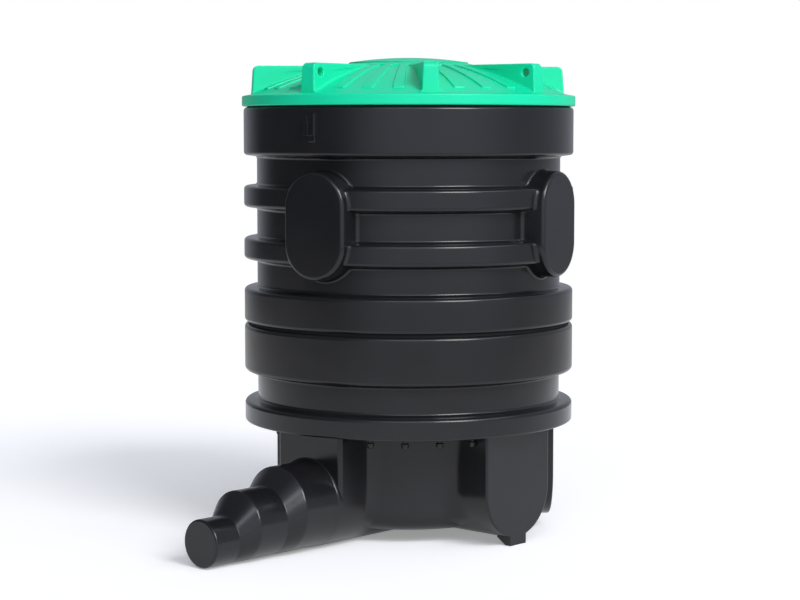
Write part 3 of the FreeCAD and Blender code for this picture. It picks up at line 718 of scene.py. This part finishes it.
lid_edge = [
    (DOME_FOOT_R, DOME_FOOT_Z, 0.0),
    (LID_R, RIM_Z, RIM_EDGE),
    (LID_R, LID_Z, RIM_EDGE),
    (PLUG_R, LID_Z, LID_EDGE),
    (PLUG_R, PLUG_Z, LID_EDGE),
    (PLUG_R - LID_WALL, PLUG_Z, LID_EDGE),
    (PLUG_R - LID_WALL, LID_Z + LID_WALL, LID_EDGE),
    (LID_R - LID_WALL, LID_Z + LID_WALL, LID_EDGE),
    (LID_R - LID_WALL, RIM_Z - LID_WALL, LID_EDGE),
]
lid_section = rounded_path(
    dome_points(0.0, DOME_FOOT_R - FOOT_MARGIN, 0.0, DOME_OUT_POINTS) + lid_edge
    + dome_points(0.0, DOME_FOOT_R, -LID_WALL, DOME_IN_POINTS)[::-1], closed=False)
make_piece("lid_shell", [(turned_skin(lid_section), True, False)], "lid", "lid",
           "lid_plug", "lid_rim", "lid_dome")

# %% [markdown]
# In the middle of the lid a round cap stands above a lower apron. Both follow the dome, so their
# tops are parts of spheres about the dome's own centre, a few millimetres larger, and short steep
# steps with small arcs lead from one to the next. Another turned section is the shortest way.

# %% Lid cap
CAP_R, APRON_R = 144 * MM, 172 * MM
CAP_PROUD, STRIP_PROUD = 7 * MM, 4 * MM
CAP_EDGE, CAP_FOOT, CAP_LEAN = 1.2 * MM, 1.0 * MM, 0.4 * MM
APRON_EDGE, APRON_FOOT, APRON_LEAN = 1.4 * MM, 1.2 * MM, 0.6 * MM
CROWN_MARGIN, CROWN_SUNK, CROWN_CLEAR = 4 * MM, 4 * MM, 0.05 * MM
CAP_POINTS, APRON_POINTS = 24, 6

cap_step = [
    (CAP_R, dome(CAP_R, CAP_PROUD), CAP_EDGE),
    (CAP_R + CAP_LEAN, dome(CAP_R, STRIP_PROUD), CAP_FOOT),
]
skirt_r = APRON_R + CROWN_MARGIN
apron_step = [
    (APRON_R, dome(APRON_R, STRIP_PROUD), APRON_EDGE),
    (APRON_R + APRON_LEAN, dome(APRON_R), APRON_FOOT),
    (skirt_r, dome(skirt_r) + CROWN_CLEAR, 0.0),
    (skirt_r, dome(APRON_R) - CROWN_SUNK, 0.0),
    (0.0, dome(0.0) - CROWN_SUNK, 0.0),
]
cap_section = rounded_path(
    dome_points(0.0, CAP_R - CROWN_MARGIN, CAP_PROUD, CAP_POINTS) + cap_step
    + dome_points(CAP_R + CROWN_MARGIN, APRON_R - CROWN_MARGIN, STRIP_PROUD, APRON_POINTS)
    + apron_step, closed=False)
make_piece("lid_crown", [(turned_skin(cap_section), True, False)], "lid", "lid", "lid_cap")

# %% [markdown]
# From the apron raised strips run outwards between the fins. A strip could be pressed out of the
# dome's grid, but its edges wouldn't follow the rows and columns. It is a narrow patch that follows
# the dome, rounded all round: one way the grid goes round the strip's outline, the other way from
# its spine over the edge to the foot.

# %% Strips
FIN_AZIMUTH, FIN_COUNT, STRIPS_PER_BAY = math.radians(50.0), 8, 3
STRIP_START_R, STRIP_END_R = APRON_R - 5 * MM, DOME_FOOT_R - 20 * MM
STRIP_IN_W, STRIP_OUT_W = 17 * MM, 26 * MM
STRIP_IN_CORNER, STRIP_OUT_CORNER = 2 * MM, 3 * MM
STRIP_EDGE, STRIP_FOOT, STRIP_LEAN = 1.5 * MM, 1.2 * MM, 0.3 * MM
STRIP_SKIRT, STRIP_SUNK, STRIP_ROOT, STRIP_SETTLE = 0.6 * MM, 2 * MM, 3 * MM, 0.02 * MM
STRIP_STEP = 8 * MM
STRIP_EDGE_ROWS, STRIP_FOOT_ROWS = 6, 5


def measured_outline(corners):
    """Closed line through the corners and the distance of each of its points along it."""
    knots = rounded_path(corners)
    knots = np.vstack([knots, knots[:1]])
    length = np.concatenate([[0.0], np.cumsum(np.linalg.norm(np.diff(knots, axis=0), axis=1))])
    return knots, length


def points_along(knots, length, places):
    """Points of a measured line at the places asked for."""
    return np.stack([np.interp(places, length, column) for column in knots.T], -1)


def strip_skin():
    """Patch on the dome with a long outline: spine, edge arc, flared foot and a hidden underside."""
    knots, length = measured_outline([
        (-STRIP_IN_W / 2, STRIP_START_R, STRIP_IN_CORNER),
        (STRIP_IN_W / 2, STRIP_START_R, STRIP_IN_CORNER),
        (STRIP_OUT_W / 2, STRIP_END_R, STRIP_OUT_CORNER),
        (-STRIP_OUT_W / 2, STRIP_END_R, STRIP_OUT_CORNER),
    ])
    places = np.unique(np.concatenate([length[:-1], np.arange(0.0, length[-1], STRIP_STEP)]))
    outline = points_along(knots, length, places)
    spine_r = np.clip(outline[:, 1], STRIP_START_R + STRIP_IN_W / 2, STRIP_END_R - STRIP_OUT_W / 2)
    spine = np.stack([np.zeros(len(outline)), spine_r], -1)
    away = unit(outline - spine)
    rows = [(spine, STRIP_PROUD), (outline - away * 2 * STRIP_EDGE, STRIP_PROUD)]
    for b in np.linspace(0, QUARTER, STRIP_EDGE_ROWS):
        rows.append((outline - away * STRIP_EDGE * (1 - math.sin(b)),
                     STRIP_PROUD - STRIP_EDGE * (1 - math.cos(b))))
    for b in np.linspace(0, QUARTER, STRIP_FOOT_ROWS):
        rows.append((outline + away * (STRIP_LEAN + STRIP_FOOT * (1 - math.cos(b))),
                     STRIP_FOOT * (1 - math.sin(b))))
    rows += [(outline + away * (STRIP_SKIRT + STRIP_FOOT), -STRIP_SUNK), (spine, -STRIP_ROOT)]
    plan = np.array([row[0] for row in rows])
    proud = np.array([row[1] for row in rows])[:, None]
    return np.stack([plan[..., 0], -plan[..., 1], dome(plan[..., 1]) + proud - STRIP_SETTLE], -1)


strip = strip_skin()
bay = 2 * math.pi / FIN_COUNT
shares = [k + i / (STRIPS_PER_BAY + 1) for k in range(FIN_COUNT) for i in range(1, STRIPS_PER_BAY + 1)]
strips = [(spun(strip, FIN_AZIMUTH + share * bay), False, True) for share in shares]
make_piece("lid_ribbing", strips, "lid", "lid", "lid_strips")

# %% [markdown]
# ## The fins
# Eight fins stiffen the dome, and every other one has a hole for a lifting bar. A block with a
# Boolean hole would have sharp rims. The skin of a pierced fin is a ring instead: going one way
# round, the points follow the fin's outline; going the other way, they go from the hole over one
# side, across the edge, back over the other side and through the hole. The sides have draft, the
# edges are rounded, and near the dome the fin spreads into a fillet.

# %% Fins
FIN_REACH = LID_R - 22.5 * MM
FIN_TOP_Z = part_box("lid_fin_1")[1].z
FIN_INNER_R, FIN_BOTTOM_R = APRON_R - 6 * MM, FIN_REACH - 30 * MM
FIN_TOE_R, FIN_TOE_Z = FIN_REACH + 0.6 * MM, RIM_Z - 10 * MM
FIN_FOOT_W, FIN_TOP_W = 43 * MM, 35 * MM
FIN_LEAN, FIN_CORNER, FIN_EDGE = 4.5 * MM, 13 * MM, 4 * MM
FIN_FILLET, FIN_SUNK = 6 * MM, 6 * MM
HOLE_R, HOLE_RIM = 9.5 * MM, 3.0 * MM
HOLE = np.array([FIN_REACH - 28 * MM, FIN_TOP_Z - 21 * MM])
FIN_COLUMNS, BOTTOM_POINTS = 192, 12
RIM_ROWS, SIDE_ROWS, FIN_EDGE_ROWS = 5, 16, 6


def fin_half_width(plan):
    """Half the fin's thickness at (r, z): it narrows evenly upwards and flares in a hollow arc below."""
    r, z = plan.T
    rise = (z - RIM_Z) / (FIN_TOP_Z - RIM_Z)
    ground = np.where(r < DOME_FOOT_R, dome(r), DOME_FOOT_Z)
    above = np.clip((z - ground) / FIN_FILLET, 0, 1)
    flare = FIN_FILLET * (1 - np.sqrt(1 - (1 - above) ** 2))
    return (FIN_FOOT_W + (FIN_TOP_W - FIN_FOOT_W) * rise) / 2 + flare


def fin_skin(pierced):
    """Grid of one fin, (r, z) along its outline and x across: a ring, or a closed pod with no hole."""
    bottom = [(r, dome(r) - FIN_SUNK, 0.0) for r in np.linspace(FIN_BOTTOM_R, FIN_INNER_R, BOTTOM_POINTS)]
    knots, length = measured_outline([
        (FIN_INNER_R, FIN_TOP_Z, 0.0),
        (FIN_REACH - FIN_LEAN, FIN_TOP_Z, FIN_CORNER),
        (FIN_TOE_R, FIN_TOE_Z, FIN_EDGE + 2 * SUPPORT),
        *bottom,
    ])
    outline = points_along(knots, length, np.linspace(0.0, length[-1], FIN_COLUMNS, endpoint=False))
    along = unit(np.roll(outline, -1, axis=0) - np.roll(outline, 1, axis=0))
    inward = np.stack([along[:, 1], -along[:, 0]], -1)
    inward *= np.sign(((HOLE - outline) * inward).sum(1, keepdims=True))
    ray = unit(outline - HOLE)
    rows = []
    if pierced:
        rows.append((HOLE + ray * HOLE_R, np.zeros(FIN_COLUMNS)))
        for b in np.linspace(0, QUARTER, RIM_ROWS):
            plan = HOLE + ray * (HOLE_R + HOLE_RIM * (1 - math.cos(b)))
            rows.append((plan, fin_half_width(plan) - HOLE_RIM * (1 - math.sin(b))))
    near = HOLE + ray * ((HOLE_R + HOLE_RIM + SUPPORT) if pierced else 0.0)
    far = outline + inward * (FIN_EDGE + SUPPORT)
    for t in 1 - np.linspace(1, 0, SIDE_ROWS) ** 2:
        plan = near + t * (far - near)
        rows.append((plan, fin_half_width(plan)))
    edge_half = fin_half_width(outline + inward * FIN_EDGE)
    for b in np.linspace(0, QUARTER, FIN_EDGE_ROWS):
        rows.append((outline + inward * FIN_EDGE * (1 - math.sin(b)),
                     edge_half - FIN_EDGE * (1 - math.cos(b))))
    rows.append((outline, rows[-1][1] - SUPPORT))
    plan, x = (np.array(column) for column in zip(*rows))
    side = np.stack([x, -plan[..., 0], plan[..., 1]], -1)
    other = side[:0:-1] if pierced else side[::-1]
    return np.vstack([side, other * np.array([-1.0, 1.0, 1.0])])


for k in range(1, FIN_COUNT + 1):
    pierced = k % 2 == 0
    fin = spun(fin_skin(pierced), FIN_AZIMUTH + (k - 1) * bay)
    make_piece("fin_%d" % k, [(fin, pierced, True)], "lid", "lid", "lid_fin_%d" % k)

# %% [markdown]
# ## The floor
# The chamber stands on white paper that runs out of the picture. Near the object the paper takes
# real light and keeps the shadow; further off it goes over into plain white, so that no horizon
# shows. More lamps would whiten the paper too, but they would also bleach the lid. The white comes
# from the kind of ray instead: it is seen by the camera, and dimmer in a mirror and through glass.

# %% Floor
SHADOW_REACH, WHITE_REACH, PAPER_REACH = 2.2, 4.0, 6.0
PAPER_LIFT = 0.28
MIRROR_SHARE = 0.55


def add_math(tree, operation, first, second):
    """New arithmetic node on two sockets or numbers; returns its result."""
    node = tree.nodes.new("ShaderNodeMath")
    node.operation = operation
    for socket, value in zip(node.inputs, (first, second)):
        if isinstance(value, (int, float)):
            socket.default_value = value
        else:
            tree.links.new(value, socket)
    return node.outputs["Value"]


floor_mesh = bpy.data.meshes.new("floor")
sheet = np.array([[-1, -1, 0], [1, -1, 0], [1, 1, 0], [-1, 1, 0]]) * PAPER_REACH
floor_mesh.from_pydata(sheet.tolist(), [], [(0, 1, 2, 3)])
floor = bpy.data.objects.new("floor", floor_mesh)
bpy.context.collection.objects.link(floor)
paper = moulded_plastic("paper", colour=(0.90, 0.90, 0.91), pale=(0.92, 0.92, 0.93),
                        roughness=0.9, specular=0.1)
tree = paper.node_tree
coordinates = add_node(tree, "ShaderNodeTexCoord", (-900, 900))
away = add_node(tree, "ShaderNodeVectorMath", (-750, 900))
away.operation = "LENGTH"
tree.links.new(coordinates.outputs["Object"], away.inputs[0])
fade = add_node(tree, "ShaderNodeMapRange", (-600, 900), From_Min=SHADOW_REACH, From_Max=WHITE_REACH)
fade.interpolation_type = "SMOOTHSTEP"
tree.links.new(away.outputs["Value"], fade.inputs["Value"])
path = add_node(tree, "ShaderNodeLightPath", (-1200, 600)).outputs
mirrored = add_math(tree, "MAXIMUM", path["Is Glossy Ray"], path["Is Transmission Ray"])
seen = add_math(tree, "MAXIMUM", path["Is Camera Ray"], mirrored)
dimmed = add_math(tree, "MULTIPLY", mirrored, MIRROR_SHARE)
bright = add_math(tree, "MAXIMUM", path["Is Camera Ray"], dimmed)
lift = add_node(tree, "ShaderNodeEmission", (-300, 600))
tree.links.new(add_math(tree, "MULTIPLY", bright, PAPER_LIFT), lift.inputs["Strength"])
near_paper = tree.nodes.new("ShaderNodeAddShader")
tree.links.new(tree.nodes["Principled BSDF"].outputs["BSDF"], near_paper.inputs[0])
tree.links.new(lift.outputs["Emission"], near_paper.inputs[1])
white = add_node(tree, "ShaderNodeEmission", (-300, 900))
tree.links.new(bright, white.inputs["Strength"])
blend = tree.nodes.new("ShaderNodeMixShader")
tree.links.new(add_math(tree, "MULTIPLY", seen, fade.outputs["Result"]), blend.inputs["Fac"])
tree.links.new(near_paper.outputs["Shader"], blend.inputs[1])
tree.links.new(white.outputs["Emission"], blend.inputs[2])
tree.links.new(blend.outputs["Shader"], tree.nodes["Material Output"].inputs["Surface"])
floor.data.materials.append(paper)
print("floor", 2 * PAPER_REACH, "m wide, white from", WHITE_REACH, "m")

# %% [markdown]
# ## The room
# Black satin plastic shows little of its own colour: what is seen is the room mirrored in it, so
# the room matters more than the lamp. A picture of a room could be used, but a few soft patches of
# sky do. A wide window stands to the right of the camera, a pale wall behind the chamber and a
# faint ceiling above it, and the rest of the room is dim. The nearer a ray is to a patch's
# direction, the brighter it is. A long strip light hangs above the window: it is a wide patch kept
# to a thin band of height, and the rounded edges of the rings mirror it as long thin lines.

# %% Room
ROOM_TINT = (0.92, 0.96, 1.08, 1.0)
DIM_ROOM = 0.105
WINDOW = dict(azimuth=63.0, rise=8.0, edge=0.25, core=0.97, strength=0.92)
WALLS = dict(azimuth=195.0, rise=-5.0, edge=0.05, core=0.60, strength=0.33)
CEILING = dict(azimuth=0.0, rise=90.0, edge=0.2, core=0.95, strength=0.07)
STRIP_LIGHT = dict(azimuth=76.0, rise=0.0, edge=0.30, core=0.50, strength=5.0)
STRIP_LIGHT_HEIGHT, STRIP_LIGHT_SPREAD = math.sin(math.radians(42.0)), 0.08
world = bpy.data.worlds.new("studio")
world.use_nodes = True
bpy.context.scene.world = world
sky = world.node_tree
direction = add_node(sky, "ShaderNodeTexCoord", (-1500, 0)).outputs["Generated"]


def glow(azimuth, rise, edge, core, strength):
    """Soft patch of sky: its strength where a ray's cosine with its direction is over core, 0 under edge."""
    a, b = math.radians(azimuth), math.radians(rise)
    cosine = add_node(sky, "ShaderNodeVectorMath", (-1200, 0))
    cosine.operation = "DOT_PRODUCT"
    cosine.inputs[1].default_value = outward(a) * math.cos(b) + np.array([0.0, 0.0, math.sin(b)])
    sky.links.new(direction, cosine.inputs[0])
    patch = add_node(sky, "ShaderNodeMapRange", (-900, 0), From_Min=edge, From_Max=core, To_Max=strength)
    patch.interpolation_type = "SMOOTHSTEP"
    sky.links.new(cosine.outputs["Value"], patch.inputs["Value"])
    return patch.outputs["Result"]


height = add_node(sky, "ShaderNodeSeparateXYZ", (-1200, -300))
sky.links.new(direction, height.inputs["Vector"])
above = add_math(sky, "SUBTRACT", height.outputs["Z"], STRIP_LIGHT_HEIGHT)
band = add_node(sky, "ShaderNodeMapRange", (-900, -300), From_Min=STRIP_LIGHT_SPREAD, From_Max=0.0)
band.interpolation_type = "SMOOTHSTEP"
sky.links.new(add_math(sky, "ABSOLUTE", above, 0.0), band.inputs["Value"])
room = add_math(sky, "MULTIPLY", glow(**STRIP_LIGHT), band.outputs["Result"])
for patch in (WINDOW, WALLS, CEILING):
    room = add_math(sky, "ADD", glow(**patch), room)
room = add_math(sky, "ADD", room, DIM_ROOM)
studio = sky.nodes["Background"]
studio.inputs["Color"].default_value = ROOM_TINT
sky.links.new(room, studio.inputs["Strength"])
backdrop = add_node(sky, "ShaderNodeBackground", (0, 400), Strength=1.0, Color=(1.0, 1.0, 1.0, 1.0))
camera_ray = add_node(sky, "ShaderNodeLightPath", (-300, 400)).outputs["Is Camera Ray"]
picture = sky.nodes.new("ShaderNodeMixShader")
sky.links.new(camera_ray, picture.inputs["Fac"])
sky.links.new(studio.outputs["Background"], picture.inputs[1])
sky.links.new(backdrop.outputs["Background"], picture.inputs[2])
sky.links.new(picture.outputs["Shader"], sky.nodes["World Output"].inputs["Surface"])
print("room of", len(sky.nodes), "nodes")

# %% [markdown]
# ## The lamp
# One lamp throws the shadow. A near lamp would leave a bright pool on the paper, so this one is far
# away. It stands close to the strip light's direction, and it is wide, as a soft box is, so the
# shadow's edge is soft.

# %% Lamp
LAMP_AZIMUTH, LAMP_RISE, LAMP_SPREAD = math.radians(80.0), math.radians(35.0), math.radians(26.0)
LAMP_ENERGY, LAMP_COLOUR = 1.7, (1.0, 0.985, 0.96)
LAMP_AWAY, LAMP_HEIGHT = 4.0, 4.0
lamp_light = bpy.data.lights.new("lamp", "SUN")
lamp_light.angle = LAMP_SPREAD
lamp_light.energy = LAMP_ENERGY
lamp_light.color = LAMP_COLOUR
lamp = bpy.data.objects.new("lamp", lamp_light)
bpy.context.collection.objects.link(lamp)
lamp.location = LAMP_AWAY * outward(LAMP_AZIMUTH) + np.array([0.0, 0.0, LAMP_HEIGHT])
lamp.rotation_euler = (math.pi / 2 - LAMP_RISE, 0.0, LAMP_AZIMUTH)
print("lamp at", [round(v, 2) for v in lamp.location])
